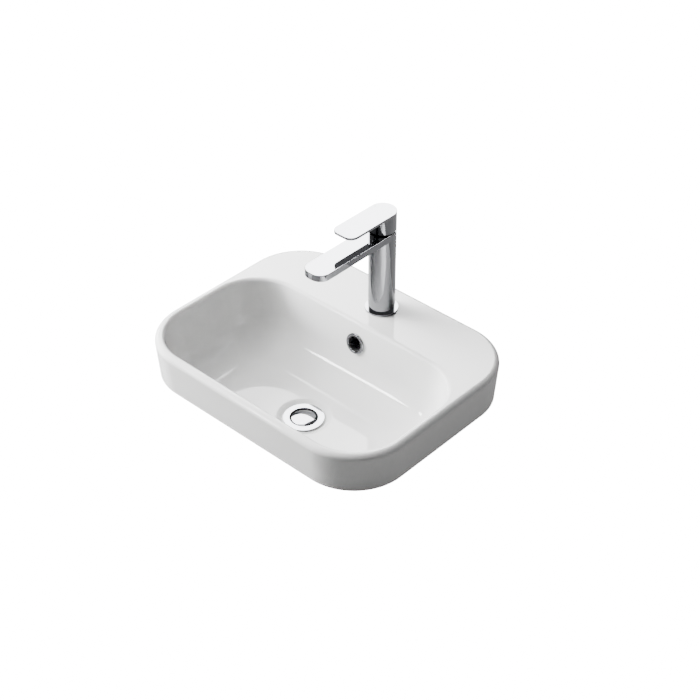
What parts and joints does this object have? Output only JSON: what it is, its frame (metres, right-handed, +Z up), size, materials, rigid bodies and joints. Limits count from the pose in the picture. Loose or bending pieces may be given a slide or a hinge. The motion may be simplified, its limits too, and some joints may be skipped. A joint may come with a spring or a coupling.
{
  "type": "inset basin",
  "caption": "Wide white ceramic inset basin with rounded corners and a rear tap deck, single-lever column mixer with flat spout, round wall overflow and push-down waste.",
  "frame": {"origin": "the middle of the rear foot of the skirt, on the plane of the bench top", "axes": "+X to the right of a person facing the basin, -Y towards that person and the way the spout points, +Z up"},
  "size_m": [0.5, 0.392, 0.4],
  "materials": {
    "china": "gloss white glaze",
    "disc_ceramic": "polished white ceramic",
    "chrome": "mirror-bright plating",
    "brass": "plain turned",
    "steel": "zinc-bright",
    "black_rubber": "matte",
    "black_plastic": "matte",
    "white_plastic": "matte",
    "red_enamel": "enamel",
    "blue_enamel": "enamel"
  },
  "bodies": {
    "root": {"basin": "china", "overflow_ring": "chrome", "overflow_liner": "black_plastic", "tap_body": "chrome", "base_ring": "chrome", "base_seal": "black_rubber", "aerator_housing": "chrome", "aerator_insert": "white_plastic", "aerator_washer": "black_rubber", "cartridge_body": "white_plastic", "cartridge_rings": "black_rubber", "fixed_disc": "disc_ceramic", "cartridge_nut": "brass", "cartridge_cover": "black_plastic", "fixing_studs": "steel", "fixing_gasket": "black_rubber", "fixing_plate": "steel", "fixing_nuts": "brass", "waste_body": "chrome", "waste_top_seal": "black_rubber", "click_barrel": "white_plastic", "barrel_bridge": "white_plastic", "waste_low_seal": "black_rubber", "slip_ring": "white_plastic", "back_nut": "brass"},
    "turning_carrier": {"carrier": "white_plastic", "lever_pin": "steel"},
    "lever_group": {"spindle": "brass", "lever": "chrome", "lever_screw": "steel", "screw_cap": "chrome", "hot_mark": "red_enamel", "cold_mark": "blue_enamel"},
    "disc_slide": {"sliding_disc": "disc_ceramic", "disc_driver": "white_plastic"},
    "plug_group": {"plug_cap": "chrome", "plug_seal": "black_rubber", "plug_stem": "brass"}
  },
  "joints": [
    {"name": "lever_swivel", "type": "hinge", "parent": "root", "child": "turning_carrier", "pos_m": [0, -0.0512, 0.2265], "axis": [0, 0, 1], "range_deg": [-45, 45]},
    {"name": "lever_lift", "type": "hinge", "parent": "turning_carrier", "child": "lever_group", "pos_m": [0, -0.0432, 0.2355], "axis": [-1, 0, 0], "range_deg": [0, 20]},
    {"name": "disc_travel", "type": "slide", "parent": "turning_carrier", "child": "disc_slide", "axis": [0, -1, 0], "range_m": [0, 0.0087]},
    {"name": "plug_rise", "type": "slide", "parent": "root", "child": "plug_group", "axis": [0, 0, 1], "range_m": [0, 0.008]}
  ],
  "couplings": [
    {"joint": "disc_travel", "follows": "lever_lift", "m_per_rad": 0.02478}
  ]
}
